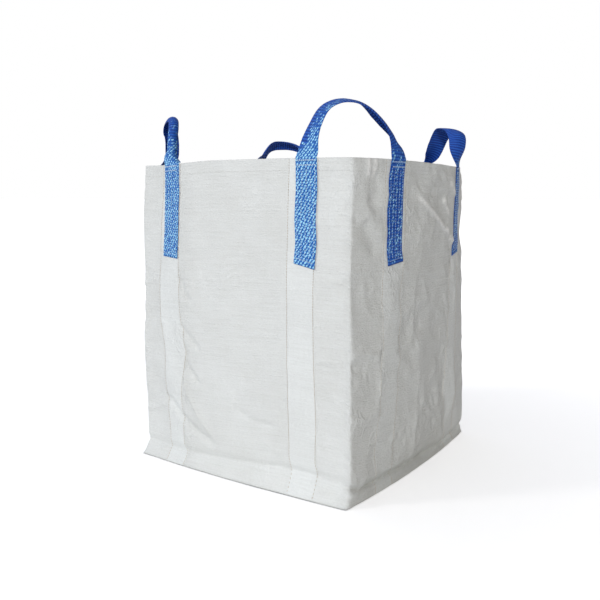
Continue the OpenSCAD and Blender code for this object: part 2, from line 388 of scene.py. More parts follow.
def painted_crease_highlight(p, v):
    """How strong the painted highlight along a sharp crease is, from 0 to 1."""
    lines = np.zeros(p.shape)
    for face in range(4):
        u = on_face(p, face)
        near = (u > -CREASE_HIGHLIGHT_PAST) & (u < WIDTH + CREASE_HIGHLIGHT_PAST)
        for height, left, right, soft, path in FOLDS[face]:
            if soft or height < CREASE_HIGHLIGHT_HEIGHT or min(left, right) > CREASE_HIGHLIGHT_FLANK:
                continue
            gap, _, share = path_reach(path, u[near], v[near])
            fade = smooth(np.minimum(share, 1 - share) / 0.15)
            lines[near] = np.maximum(lines[near], fade * np.exp(-(gap / CREASE_HIGHLIGHT_LINE) ** 2))
    return lines


def under_strips(p, v, centres, width, ends):
    """1 where a strip sewn to the wall covers it, fading over its edges; ends are the strips' low ends."""
    cover = np.zeros(p.shape)
    for face in range(4):
        u = on_face(p, face)
        for i in range(2):
            across = smooth((width / 2 + 8 - np.abs(u - centres[face][i])) / 16)
            up = 1 if ends is None else smooth((v - ends[face][i] + 10) / 20)
            cover = np.maximum(cover, across * up)
    return cover


def relief(p, v):
    """Outward height of the fabric's waves, folds and crumples, in millimetres."""
    shape = p.shape
    p, v = np.ravel(p), np.ravel(v)
    leg = under_strips(p, v, LEG_AT, STRAP_W, LEG_END)
    band = under_strips(p, v, BAND_AT, BAND_W, None)
    bend_p = p + 10 * broad_waves(p, v + 400)
    bend_v = v + 10 * broad_waves(p, v + 900)
    ridged = 0.75 - np.abs(ridge_waves(bend_p, bend_v))
    small = 0.75 - np.abs(small_ridges(bend_p, bend_v))
    patches = smooth(0.45 + 0.5 * patch_waves(p, v))
    crumpled = round_table(p, CRUMPLED) * (1 - 0.35 * band)
    rim = smooth((HEIGHT - v) / 60)
    total = 2.6 * broad_waves(p, v) * (0.35 + 0.65 * rim)
    total += 1.1 * middle_waves(p, v) * (1 - 0.5 * leg)
    total += crumpled * (1 - 0.85 * leg) * (2.0 * ridged * mix(0.3, 1, rim) + 1.1 * small * patches)
    total += 0.22 * fine_waves(p, v) * crumpled * (1 - 0.9 * leg) * (0.4 + patches)
    total += designed_folds(p, v) * (1 - 0.7 * leg)
    total *= mix(0.25, 1, smooth((v - 4) / 60))
    return total.reshape(shape)


def wall_point(p, v, lift=0.0):
    """Point of the body's outer surface at place p round the bag and section row v, lift proud of it."""
    p, v = np.broadcast_arrays(np.asarray(p, float), np.asarray(v, float))
    p = np.mod(p, ROUND)
    face = np.minimum(3, np.floor(p / WIDTH)).astype(int)
    s = p / WIDTH - face
    out = relief(p, v) + lift
    x = np.zeros(p.shape)
    y = np.zeros(p.shape)
    for f in range(4):
        here = face == f
        if not here.any():
            continue
        sh, vh = s[here], v[here]
        left = -WIDTH / 2 - outward((f + 3) % 4, np.ones(sh.shape), vh)
        right = WIDTH / 2 + outward((f + 1) % 4, np.zeros(sh.shape), vh)
        lx, ly = mix(left, right, sh), -WIDTH / 2 - outward(f, sh, vh)
        by_left, by_right = np.exp(-sh * WIDTH / 12), np.exp(-(1 - sh) * WIDTH / 12)
        nx, ny = by_right - by_left, -np.ones(sh.shape)
        size = np.hypot(nx, ny)
        lx, ly = lx + out[here] * nx / size, ly + out[here] * ny / size
        x[here], y[here] = turned((lx, ly), f)
    return np.stack([x, y, height_of(p, v)], -1)


def wall_place(p, v, lift=0.0):
    """Point lift proud of the body's outer surface along its normal, and that outward normal."""
    step = 4.0
    p, v = np.broadcast_arrays(np.asarray(p, float), np.asarray(v, float))
    across = unit(wall_point(p + step, v) - wall_point(p - step, v))
    up = wall_point(p, v + step) - wall_point(p, v - step)
    normal = unit(np.cross(across, up))
    return wall_point(p, v) + normal * lift, normal


# ---- meshes
def add_mesh(name, points, faces, material, uv=None, uv_name="cloth"):
    """Smooth-shaded mesh in the scene, from points and a map in millimetres."""
    mesh = bpy.data.meshes.new(name)
    mesh.from_pydata((np.reshape(points, (-1, 3)) * MM).tolist(), [], faces)
    mesh.polygons.foreach_set("use_smooth", np.ones(len(mesh.polygons), bool))
    if uv is not None:
        layer = mesh.uv_layers.new(name=uv_name)
        layer.data.foreach_set("uv", (np.asarray(uv, float) * MM).ravel())
    mesh.materials.append(material)
    mesh.update()
    piece = bpy.data.objects.new(name, mesh)
    bpy.context.scene.collection.objects.link(piece)
    return piece


def set_values(piece, name, values):
    """Gives a value to each point of a mesh, for its paint to read."""
    layer = piece.data.attributes.new(name, "FLOAT", "POINT")
    layer.data.foreach_set("value", np.ravel(values).astype(np.float32))


def grid_faces(rows, cols, closed=False):
    """Quads of a grid of points, a row for each height; closed joins the last column to the first."""
    last = cols if closed else cols - 1
    r, c = np.meshgrid(np.arange(rows - 1), np.arange(last), indexing="ij")
    here, after = r * cols + c, r * cols + (c + 1) % cols
    return np.stack([here, after, after + cols, here + cols], -1).reshape(-1, 4).tolist()


def grid_uv(us, vs):
    """Map for the quads of a grid: one u for each column edge, one v for each row."""
    r, c = np.meshgrid(np.arange(len(vs) - 1), np.arange(len(us) - 1), indexing="ij")
    us, vs = np.asarray(us, float), np.asarray(vs, float)
    corners = [(us[c], vs[r]), (us[c + 1], vs[r]), (us[c + 1], vs[r + 1]), (us[c], vs[r + 1])]
    return np.stack([np.stack(k, -1) for k in corners], 2).reshape(-1, 2)


def spaced(a, b, step):
    """Places from a up to, but not including, b, at most a step apart."""
    count = max(1, math.ceil(abs(b - a) / step))
    return [a + (b - a) * i / count for i in range(count)]


# Columns of the sleeve are finer within this distance of a corner
NEAR_CORNER = 30
FINE_STEP = 4
STEP = 7


def face_columns(face):
    """Columns along one face, with one on each edge of its bands and strap legs."""
    stops = [NEAR_CORNER, WIDTH - NEAR_CORNER]
    for i in range(2):
        stops += [BAND_AT[face][i] + e * BAND_W / 2 for e in (-1, 1)]
        stops += [LEG_AT[face][i] + e * STRAP_W / 2 for e in (-1, 1)]
    stops = sorted(stops)
    places = spaced(0, stops[0], FINE_STEP)
    for a, b in zip(stops, stops[1:]):
        places += spaced(a, b, STEP)
    return places + spaced(stops[-1], WIDTH, FINE_STEP)


COLUMNS = np.array([f * WIDTH + u for f in range(4) for u in face_columns(f)])
FOOT_ROWS = [0, 3, 6, 9, 12, 16, 20, 25, 30, 35, 40, 44, 48, 51, 54, 56, 58, 60, 62, 64, 67, 71, 76, 82]
WALL_ROWS = FOOT_ROWS + spaced(88, HEIGHT - 10, STEP) + [HEIGHT - 10, HEIGHT - 5, HEIGHT - 2]
# Rows that carry on over the rim and down inside as the folded hem: height, lift
HEM_ROWS = [(HEIGHT - 0.4, -0.5), (HEIGHT, -1.4), (HEIGHT - 0.6, -2.4), (HEIGHT - 4, -3)]
HEM_ROWS += [(HEIGHT - 4 - d, -3) for d in (8, 16, 24, 32, HEM - 4)]


def soft_corners(points):
    """Rounds the sleeve's four upright edges."""
    to_corner = np.abs((COLUMNS + WIDTH / 2) % WIDTH - WIDTH / 2)
    soft = smooth((16 - to_corner) / 10)[None, :, None]
    for _ in range(4):
        even = (np.roll(points, 1, 1) + 2 * points + np.roll(points, -1, 1)) / 4
        points = points + soft * (even - points)
    return points


def cloth_values(piece, p, v):
    set_values(piece, "crumpling", crumpling(p))
    # Painted highlight along the sharp creases, which the cloth's paint turns into lighter colour
    set_values(piece, "crease_highlight", painted_crease_highlight(p, v))


def body_sleeve(material):
    """The tube of cloth from the fin's edge up to the rim, over it and down inside as the hem."""
    rows = np.array([(v, 0.0) for v in WALL_ROWS] + HEM_ROWS)
    p, v = np.meshgrid(COLUMNS, rows[:, 0])
    points = soft_corners(wall_point(p, v, rows[:, 1:] + np.zeros(p.shape)))
    lengths = WALL_ROWS + [HEIGHT + 1 + i * 6 for i in range(len(HEM_ROWS))]
    uv = grid_uv([*(COLUMNS + WIDTH), ROUND + WIDTH], lengths)
    faces = grid_faces(len(rows), len(COLUMNS), closed=True)
    piece = add_mesh("body_sleeve", points, faces, material, uv)
    cloth_values(piece, p, v)
    return piece


def bottom_sheet(material):
    """The square of cloth that the bag stands on, out to the fin's edge, with slack ripples inside."""
    columns = COLUMNS[::2]
    edge = wall_point(columns, 0.0)[:, :2]
    shares = [0.999, 0.985, 0.965, 0.94, 0.91, 0.87, 0.82, 0.76, 0.69, 0.61]
    shares += [0.52, 0.43, 0.34, 0.25, 0.16, 0.08, 0.01]
    rings = []
    for share in shares:
        ring = edge * share
        inside = smooth((0.95 - share) / 0.1)
        waves = middle_waves(ring[:, 0] * 1.3 + 700, ring[:, 1] * 1.3) + broad_waves(ring[:, 0], ring[:, 1])
        z = 0.9 + inside * (2.2 + 1.4 * np.clip(waves, -1.4, 1.4))
        rings.append(np.column_stack([ring, z]))
    points = np.concatenate(rings)
    faces = grid_faces(len(shares), len(columns), closed=True)
    return add_mesh("bottom_sheet", points, faces, material, points[np.ravel(faces), :2])


# Sideways wander of each band's left and right edge against the CAD band, by height
EDGE_WANDER = [
    [
        ({40: 20, 90: 22, 190: 16, 335: 10, 430: 8, 520: -12, 640: -14, 1040: 2},
         {12: 4, 42: 10, 93: -6, 256: -12, 430: 12, 560: -8, 657: -12, 1037: -7}),
        ({12: 1, 55: 8, 99: -4, 313: -4, 509: -6, 673: -5, 1064: 2},
         {7: -4, 66: 6, 103: -7, 232: -4, 455: -9, 679: -8, 1062: 0}),
    ],
    [
        ({30: 8, 67: 10, 190: -4, 294: 7, 424: -2, 506: 10, 800: 2, 1060: -4},
         {30: 12, 68: 16, 142: 10, 329: 8, 490: 13, 800: 5, 1060: 4}),
        ({60: 8, 300: -4, 600: 6, 1060: 0}, {60: 6, 300: -6, 600: 3, 1060: 0}),
    ],
    [
        ({60: -6, 350: 5, 700: -5, 1060: 0}, {60: 4, 350: 8, 700: -3, 1060: 0}),
        ({60: 9, 400: -5, 800: 4, 1060: 0}, {60: 5, 400: -7, 800: 2, 1060: 0}),
    ],
    [
        ({60: 7, 420: -6, 760: 4, 1060: 0}, {60: 5, 420: -4, 760: 6, 1060: 0}),
        ({60: -8, 380: 4, 720: -4, 1060: 0}, {60: -4, 380: 7, 720: -3, 1060: 0}),
    ],
]


def band_edge(face, i, side, v):
    """Place round the bag of a band's left (0) or right (1) edge."""
    return face * WIDTH + BAND_AT[face][i] + (side - 0.5) * BAND_W + table(v, EDGE_WANDER[face][i][side])


def band(face, i, material):
    """A strip of reinforcing cloth, sewn on from the fin to the rim, its edges pressed to the wall."""
    rows = np.array([v for v in WALL_ROWS if v >= 6] + [HEIGHT - 0.5])
    shares = np.array([0, 0.012, 0.04] + [k / 15 for k in range(1, 15)] + [0.96, 0.988, 1])
    lifts = np.array([0.1, 0.5, 0.8] + [BAND_LIFT] * 14 + [0.8, 0.5, 0.1])
    left, right = (band_edge(face, i, side, rows)[:, None] for side in (0, 1))
    p = left + (right - left) * shares[None, :]
    v = rows[:, None] + np.zeros(p.shape)
    points = wall_point(p, v, lifts[None, :] + np.zeros(p.shape))
    uv = grid_uv(shares * BAND_W + 200 * i + 430 * face, rows)
    name = f"band_{FACES[face]}_{SIDES[i]}_cloth"
    piece = add_mesh(name, points, grid_faces(len(rows), len(shares)), material, uv)
    cloth_values(piece, p, v)
    return piece


# ---- straps
# Free arches: rise above the rim, lean away from the bag, and the arch's outline from leg to leg as shares
# of the half span and of the rise
ARCH_RISE = [190, 152, 172, 172]
ARCH_LEAN = [0, 9, 45, -6]
ARCH_PATH = [
    [(-1, 0), (-0.90, 0.26), (-0.78, 0.56), (-0.60, 0.83), (-0.32, 0.97), (0, 1), (0.28, 0.93), (0.56, 0.75),
     (0.83, 0.48), (0.99, 0.22), (1, 0)],
    [(-1, 0), (-1.02, 0.3), (-1, 0.55), (-0.88, 0.78), (-0.6, 0.94), (-0.25, 1), (0.1, 0.98), (0.3, 0.82),
     (0.46, 0.6), (0.68, 0.34), (0.9, 0.12), (1, 0)],
    [(-1, 0), (-0.9, 0.4), (-0.75, 0.7), (-0.54, 0.88), (-0.3, 0.97), (-0.06, 1), (0.2, 0.98), (0.41, 0.87),
     (0.58, 0.62), (0.68, 0.42), (0.82, 0.2), (1, 0)],
    [(-1, 0), (-0.84, 0.24), (-0.76, 0.5), (-0.76, 0.76), (-0.5, 0.95), (0, 1), (0.46, 0.96), (0.7, 0.78),
     (0.7, 0.5), (0.8, 0.24), (1, 0)],
]
# How far from the rim the strap has half turned from flat on its face, at the start and end of each arch
TURN_RUN = [(66, 82), (60, 55), (60, 45), (60, 60)]
# How tightly the strap curls across its width along the arch: half angle in radians
CURL = [
    {0: 0, 0.12: 0.25, 0.5: 0.2, 0.66: 0.4, 0.85: 0.55, 1: 0},
    {0: 0, 0.1: 0.6, 0.28: 0.6, 0.5: 0.3, 0.74: 0.4, 0.84: 1.2, 0.91: 2.3, 0.97: 2.6, 1: 1.6},
    {0: 0, 0.12: 1.2, 0.4: 1.0, 0.6: 0.6, 0.85: 0.9, 1: 0},
    {0: 0, 0.08: 1.2, 0.2: 1.35, 0.34: 1.35, 0.5: 1.6, 0.64: 2.1, 0.8: 2.2, 0.9: 2.2, 1: 0},
]
# Extra turn of the strap about its own length, in degrees, along the arch
TWIST = [
    {0: 0, 0.1: -2, 0.22: -4, 0.36: -7, 0.48: -14, 0.56: -15, 0.68: 8, 0.76: 12, 0.88: 6, 1: 0},
    {0: 0, 0.3: 10, 0.45: 0, 0.56: -8, 0.72: 4, 1: 0},
    {0: 0, 0.22: 34, 0.5: 14, 0.75: 8, 1: 0},
    {0: 0, 0.5: 0, 0.66: 26, 0.8: 60, 0.92: 40, 1: 0},
]
# Lengthwise creases of each arch: how far the strip on the bag's side and on the outer side of its middle
# stands up, along the arch
NONE = {0: 0}
FAR_FOLD = [{0.04: 0, 0.12: 10, 0.36: 10, 0.52: 0}, {0: 0, 0.1: -7, 0.27: -7, 0.42: 0}, NONE, NONE]
NEAR_FOLD = [{0.58: 0, 0.7: -11, 0.9: -11, 1: 0}, NONE, NONE, {0: 0, 0.1: -7, 0.27: -7, 0.42: 0}]
# Sway of each arch away from the bag along its length
SWAY = [NONE] * 3 + [{0: 0, 0.1: -18, 0.2: -15, 0.34: -4, 0.5: -1, 0.62: -4, 0.85: -8, 1: 0}]
# How far the legs' painted light, a paler tint with pale flecks, carries on up each arch
LEG_SHEEN_FADE = [(330, 110), (60, 60), (60, 60), (90, 190)]
# How strongly each face's left and right leg shows that painted light: most on the lit front legs, least on
# the shaded right face legs
LEG_SHEEN_SHOW = [(0.94, 1.0), (0.35, 0.35), (0.6, 0.6), (0.6, 0.6)]
# Height above the rim of the line an arch leans about, and of the stretch that bends
FOLD_H = 35
BEND_H = 50
# The legs end and the arches start this high; an arch has a ring of points at each step
LEG_TOP = HEIGHT + 1
RING_STEP = 5
# How far up each end of an arch the shape of the sewn leg carries on
JOIN_RUN = [(75, 75), (75, 26), (75, 60), (60, 48)]
# Sideways shift of each strap leg against the CAD leg, by height
LEG_WANDER = [
    [{780: 4, 860: 8, 960: 6, 1100: 4}, {750: -4, 830: 1, 900: -3, 1000: 2, 1100: 0}],
    [{760: 4, 800: -4, 850: -8, 950: -10, 1030: -9, 1085: -3, 1100: 0}, {750: 0, 900: 6, 1100: 0}],
    [{750: 5, 950: -3, 1100: 0}, {750: -4, 950: 3, 1100: 0}],
    [{750: -4, 950: 3, 1100: 0}, {750: 5, 950: -2, 1100: 0}],
]
# Cross-section of the webbing, once round: place across from -1 to 1, and height from inner 0 to outer 1
ACROSS = [-0.985, -0.9, -0.76, -0.57, -0.38, -0.19, 0, 0.19, 0.38, 0.57, 0.76, 0.9, 0.985]
SECTION = [(q, 1.0) for q in ACROSS] + [(1.0, 0.5)] + [(q, 0.0) for q in ACROSS[::-1]] + [(-1.0, 0.5)]
MIDDLE = len(ACROSS) // 2
SEC_Q = np.array([q for q, _ in SECTION])
SEC_H = np.array([h for _, h in SECTION])


def leg_place(face, i, v):
    """Place round the bag of the middle of a strap leg."""
    return face * WIDTH + LEG_AT[face][i] + table(v, LEG_WANDER[face][i])


def leg_ring(face, i, v, flip, end_share):
    """Ring of webbing points on a sewn leg. At the cut end the row follows the slant."""
    q = -SEC_Q if flip else SEC_Q
    slant = LEG_SLANT[face][i]
    k = (q + 1) / 2
    drop = abs(slant) * (k if slant > 0 else 1 - k)
    z = v + end_share * (abs(slant) - drop)
    p = leg_place(face, i, v) + q * STRAP_W / 2
    quilt = 0.25 * np.cos(q * 2.6 * 2 * math.pi) * (SEC_H > 0.9)
    return wall_point(p, row_of(p, z), LEG_LIFT + SEC_H * STRAP_T + quilt)


def leg_rings(face, i, flip):
    """Rings of a sewn leg, from its cut end up to just below its top."""
    low = LEG_END[face][i]
    heights = np.linspace(low, LEG_TOP, int((LEG_TOP - low) / 6))
    return [leg_ring(face, i, v, flip, 1 - smooth((v - low) / 60)) for v in heights[:-1]]


def rim_place(face, i):
    """Where the CAD strap leaves the rim."""
    s = LEG_AT[face][i] / WIDTH
    out = WIDTH / 2 + 4 * BOW_TOP[face] * s * (1 - s) + 2.05
    return np.array([*turned(((s - 0.5) * WIDTH, -out), face), HEIGHT])


def loop_ends(k):
    """Leg tops of loop k, its chord and outward directions."""
    start = rim_place(k, 1)
    end = rim_place((k + 1) % 4, 0)
    chord = unit(end - start)
    return start, end, chord, np.array([chord[1], -chord[0], 0.0])


def curve(points, count):
    """Smooth curve through points, each stretch given the same number of steps."""
    pts = np.array(points, float)
    pts = np.concatenate([[2 * pts[0] - pts[1]], pts, [2 * pts[-1] - pts[-2]]])
    t = np.linspace(0, 1, count, endpoint=False)[:, None]
    parts = []
    for a, b, c, d in zip(pts, pts[1:], pts[2:], pts[3:]):
        parts.append(0.5 * (2 * b + (c - a) * t + (2 * a - 5 * b + 4 * c - d) * t ** 2
                            + (3 * b - a - 3 * c + d) * t ** 3))
    return np.concatenate(parts + [pts[-2:-1]])


def run_along(points):
    """Distance along a line of points to each of them."""
    return np.concatenate([[0], np.cumsum(np.linalg.norm(np.diff(points, axis=0), axis=1))])


def arch_frames(k):
    """Centre, width direction, outer direction and distance along the free arch, at even steps."""
    start, end, chord, out = loop_ends(k)
    half = np.linalg.norm(end - start) / 2
    drawn = curve(ARCH_PATH[k], 40)
    flat = np.stack([drawn[:, 0] * half, 0 * drawn[:, 0], drawn[:, 1] * ARCH_RISE[k]], -1)
    flat[:, 1] = table(np.linspace(0, 1, len(flat)), SWAY[k])
    length = run_along(flat)
    places = np.linspace(0, length[-1], int(length[-1] / RING_STEP) + 1)
    flat = np.stack([np.interp(places, length, flat[:, j]) for j in range(3)], -1)
    tangent = unit(np.gradient(flat, axis=0))
    near_a = np.array([*turned((1, 0), k), 0.0])
    near_b = np.array([*turned((-1, 0), k + 1), 0.0])
    first = (places < length[-1] / 2)[:, None]
    near = np.where(first, [near_a @ chord, near_a @ out, 0], [near_b @ chord, near_b @ out, 0])
    to_rim = np.minimum(places, length[-1] - places)
    run = np.where(first[:, 0], TURN_RUN[k][0], TURN_RUN[k][1])
    turn = (1 / (1 + (to_rim / run) ** 2.2))[:, None]
    turn = turn * smooth((length[-1] / 2 - to_rim) / 60)[:, None]
    wide = np.concatenate([turn * near[:, :1], mix(1, near[:, 1:2], turn), 0 * turn], 1)
    wide = unit(wide - (wide * tangent).sum(1, keepdims=True) * tangent)
    outer = np.cross(tangent, wide)
    spin = np.radians(table(places / length[-1], TWIST[k]))[:, None]
    wide, outer = wide * np.cos(spin) + outer * np.sin(spin), outer * np.cos(spin) - wide * np.sin(spin)
    return flat, wide, outer, places


def leaned(k, points, h):
    """Tips points of loop k outwards about its fold line."""
    angle = math.radians(ARCH_LEAN[k]) * smooth(h / BEND_H)
    y, z = points[..., 1], points[..., 2] - FOLD_H
    y, z = y * np.cos(angle) + z * np.sin(angle), -y * np.sin(angle) + z * np.cos(angle)
    return np.stack([points[..., 0], y, z + FOLD_H], -1)


def shaped_rings(k, share, flat, wide, outer):
    """Rings along an arch: curled across the webbing, creased lengthwise and a little ruffled."""
    def along(values):
        return values[:, None, None]

    q, h = SEC_Q[None, :, None], SEC_H[None, :, None]
    curl = np.maximum(0.02, along(table(share, CURL[k])))
    radius = STRAP_W / 2 / curl
    crease = along(table(share, FAR_FOLD[k])) * np.maximum(0, -q - 0.05)
    crease = crease + along(table(share, NEAR_FOLD[k])) * np.maximum(0, q - 0.05)
    ruffle = 1.1 * along(np.sin(share * 17 + k)) * q ** 2 * along(smooth(6 * share * (1 - share)))
    thick = (h - 0.5) * STRAP_T
    sag = radius * (np.sin(curl) / curl - np.cos(curl * q))
    lift = thick * np.cos(curl * q) - sag + crease + ruffle
    across = (radius + thick) * np.sin(curl * q)
    return flat[:, None, :] + wide[:, None, :] * across + outer[:, None, :] * lift


def arch_rings(k):
    """Rings of the free arch of loop k, eased into the tops of its legs, and the share along it of each."""
    start, end, chord, out = loop_ends(k)
    flat, wide, outer, places = arch_frames(k)
    share = places / places[-1]
    ring = leaned(k, shaped_rings(k, share, flat, wide, outer), flat[:, 2][:, None])
    ring = (start + end) / 2 + ring @ np.array([chord, out, [0, 0, 1.0]])
    leg_a = leg_ring(k, 1, LEG_TOP, False, 0)
    leg_b = leg_ring((k + 1) % 4, 0, LEG_TOP, True, 0)
    ring += (leg_a - ring[0]) * (1 - smooth(places / JOIN_RUN[k][0]))[:, None, None]
    ring += (leg_b - ring[-1]) * (1 - smooth((places[-1] - places) / JOIN_RUN[k][1]))[:, None, None]
    return ring, share


def sewn_values(k, share, leg_a, leg_b):
    """How much painted light the webbing shows, as a paler tint with pale flecks: all along the legs, fading
    up both ends of the arch.
    """
    count = leg_a + len(share) + leg_b
    last = count - 1 - leg_b
    run_a = np.interp(np.arange(count), [leg_a, leg_a + LEG_SHEEN_FADE[k][0] / RING_STEP], [1, 0])
    run_b = np.interp(np.arange(count), [last - LEG_SHEEN_FADE[k][1] / RING_STEP, last], [0, 1])
    shown = np.maximum(run_a * LEG_SHEEN_SHOW[k][1], run_b * LEG_SHEEN_SHOW[(k + 1) % 4][0])
    sewn = np.outer(shown, SEC_H)
    # The strip turned back at a lengthwise crease gets less of it and keeps the darker, shaded tint
    turned_back = np.clip(table(share, FAR_FOLD[k]) / 8, 0, 1)
    sewn[leg_a:leg_a + len(share)] *= 1 - 0.8 * np.outer(turned_back, smooth((-0.2 - SEC_Q) / 0.2))
    return sewn


def strap(k, material):
    """One length of webbing: leg, free arch over the corner, leg."""
    leg_a, leg_b = leg_rings(k, 1, False), leg_rings((k + 1) % 4, 0, True)
    ring, share = arch_rings(k)
    points = np.concatenate([leg_a, ring, leg_b[::-1]])
    corners = len(SECTION)
    faces = grid_faces(len(points), corners, closed=True)
    faces.append(list(range(corners))[::-1])
    faces.append([(len(points) - 1) * corners + j for j in range(corners)])
    outline = np.array([(q * STRAP_W / 2, h * STRAP_T) for q, h in SECTION + SECTION[:1]])
    uv = grid_uv(run_along(outline), run_along(points[:, MIDDLE]))
    uv = np.concatenate([uv, np.zeros((2 * corners, 2))])
    piece = add_mesh(f"strap_{CORNERS[k]}", points, faces, material, uv, "webbing")
    set_values(piece, "sewn", sewn_values(k, share, len(leg_a), len(leg_b)))
    return piece


# ---- stitches
# How far the leg stitches of each face slant to the side
STITCH_SLANT = [4.2, 0.8, 1.5, 1.5]
# Width of the leg stitches of each face
STITCH_WIDE = [2.3, 1.5, 2.0, 2.0]


def stitches(name, points, normals, length, wide, high, material):
    """Short raised threads: one between each pair of points, with tapered ends sunk in the cloth."""
    a, b = points[:, 0], points[:, 1]
    along = unit(b - a)
    middle = (a + b) / 2
    side = unit(np.cross(normals, along))
    rings = [(-0.5, 0.45, -0.1), (-0.28, 1, 0.62), (0.28, 1, 0.62), (0.5, 0.45, -0.1)]
    corners = [(-0.5, 0.0), (0.0, 0.5), (0.5, 0.0), (0.0, -0.5)]
    rows = []
    for at, grow, up in rings:
        for x, y in corners:
            reach = side * (x * wide * grow) + normals * (high * (up + y * grow))
            rows.append(middle + along * (at * length) + reach)
    verts = np.stack(rows, 1).reshape(-1, 3)
    base = [[r * 4 + c, r * 4 + (c + 1) % 4, (r + 1) * 4 + (c + 1) % 4, (r + 1) * 4 + c]
            for r in range(3) for c in range(4)] + [[3, 2, 1, 0], [12, 13, 14, 15]]
    faces = (np.array(base)[None] + 16 * np.arange(len(a))[:, None, None]).reshape(-1, 4)
    return add_mesh(name, verts, faces.tolist(), material)


def laid_on_wall(rows, lift):
    """Start and end points of stitches given as rows of pairs of places on the wall, and their normals."""
    ps, vs = (np.concatenate(part) for part in zip(*rows))
    points = np.stack([wall_place(ps[:, j], vs[:, j], lift)[0] for j in range(2)], 1)
    return points, wall_place(ps.mean(1), vs.mean(1))[1]


def line_pairs(p0, v0, p1, v1, pitch, length):
    """Stitches along a straight line on the wall, from one place to another."""
    full = math.hypot(p1 - p0, v1 - v0)
    count = max(1, int(full / pitch))
    mids = (np.arange(count) + 0.5) / count
    half = length / full / 2
    ps = np.stack([mix(p0, p1, mids - half), mix(p0, p1, mids + half)], 1)
    vs = np.stack([mix(v0, v1, mids - half), mix(v0, v1, mids + half)], 1)
    return ps, vs


def upright_pairs(low, high, pitch, length):
    """Heights of the ends of stitches that stand above each other."""
    mids = np.arange(low, high, pitch)
    return np.stack([mids - length / 2, mids + length / 2], 1)


def band_threads(face, material):
    """Stitches just inside both edges of the two bands of a face."""
    length = 7.0
    ends = upright_pairs(14, HEIGHT - 6, 9.0, length)
    rows = [(band_edge(face, i, side, ends) + (0.5 - side) * 7, ends) for i in range(2) for side in (0, 1)]
    points, normals = laid_on_wall(rows, BAND_LIFT + 0.15)
    return stitches(f"band_threads_{FACES[face]}", points, normals, length, 1.7, 0.8, material)


def hem_thread(material):
    """Chain stitch along the hem, between the corners and the bands."""
    rows = []
    length = 6.2
    height = HEIGHT - HEM + 4
    for face in range(4):
        edges = [at + e * (BAND_W / 2 + 3) for at in BAND_AT[face] for e in (-1, 1)]
        places = [6, *edges, WIDTH - 6]
        for a, b in zip(places[::2], places[1::2]):
            rows.append(line_pairs(face * WIDTH + a, height, face * WIDTH + b, height, 8.0, length))
    points, normals = laid_on_wall(rows, 0.2)
    return stitches("hem_thread", points, normals, length, 1.2, 0.7, material)


def seam_thread(material):
    """Chain stitch through the fin, all the way round the base."""
    length = 7.4
    rows = [line_pairs(f * WIDTH + 8, 4.0, (f + 1) * WIDTH - 8, 4.0, 9.0, length) for f in range(4)]
    points, _ = laid_on_wall(rows, 0.3)
    up = np.zeros((len(points), 3)) + [0, 0, 1.0]
    return stitches("base_seam_thread", points, up, length, 1.6, 1.2, material)


def leg_threads(face, i, material):
    """Sewn rows along a strap leg, two white rows across it at the rim, and one across its cut end."""
    centre = face * WIDTH + LEG_AT[face][i]
    slant = LEG_SLANT[face][i]
    low = LEG_END[face][i] + abs(slant)
    length = 6.0
    lean = np.array([-0.5, 0.5]) * STITCH_SLANT[face]
    rows = []
    for row, across in enumerate((-30, -15, 0, 15, 30)):
        ends = upright_pairs(low + 16 + 2.5 * (row % 2), HEIGHT - 30, 8.6, length)
        rows.append((leg_place(face, i, ends) + across + lean, ends))
    for z in (HEIGHT - 24, HEIGHT - 8):
        for off in (-1.1, 1.1):
            rows.append(line_pairs(centre - 34, z + off, centre + 34, z + off + 1.5, 7.2, 5.6))
    foot = leg_place(face, i, low)
    rows.append(line_pairs(foot - 32, low + 10 + slant / 2, foot + 32, low + 10 - slant / 2, 7.2, 5.6))
    rows = [(ps, np.where(vs < HEIGHT - 30, row_of(ps, vs), vs)) for ps, vs in rows]
    points, normals = laid_on_wall(rows, LEG_LIFT + STRAP_T + 0.3)
    name = f"leg_threads_{FACES[face]}_{SIDES[i]}"
    return stitches(name, points, normals, length, STITCH_WIDE[face], 1.2, material)


# ---- materials
class Nodes:
    """Short way to add and link nodes in a tree."""

    def __init__(self, tree):
        self.tree = tree
        self.tree.nodes.clear()

    def add(self, kind, *sources, **settings):
        node = self.tree.nodes.new(kind)
        for key, value in settings.items():
            setattr(node, key, value)
        for i, source in enumerate(sources):
            self.feed(node.inputs[i], source)
        return node

    def feed(self, socket, source):
        if isinstance(source, bpy.types.NodeSocket):
            self.tree.links.new(source, socket)
        elif source is not None:
            socket.default_value = source

    def math(self, operation, a, b=None, c=None):
        return self.add("ShaderNodeMath", a, b, c, operation=operation).outputs[0]

    def times(self, a, b, plus=None):
        """a * b, or a * b + plus."""
        if plus is None:
            return self.math("MULTIPLY", a, b)
        return self.math("MULTIPLY_ADD", a, b, plus)

    def total(self, *terms):
        """Sum of (value, factor) pairs."""
        value = self.times(*terms[0])
        for source, factor in terms[1:]:
            value = self.times(source, factor, value)
        return value

    def off(self, value, centre):
        """How far a value is from a centre."""
        return self.math("ABSOLUTE", self.math("SUBTRACT", value, centre))

    def ramp(self, value, low, high, a=0.0, b=1.0):
        node = self.add("ShaderNodeMapRange", value, low, high, a, b, interpolation_type="SMOOTHSTEP")
        return node.outputs[0]

    def colours(self, value, stops):
        node = self.add("ShaderNodeValToRGB", value)
        ramp = node.color_ramp
        while len(ramp.elements) < len(stops):
            ramp.elements.new(0.5)
        for element, (at, colour) in zip(ramp.elements, stops):
            element.position = at
            element.color = (*colour, 1)
        return node.outputs[0]


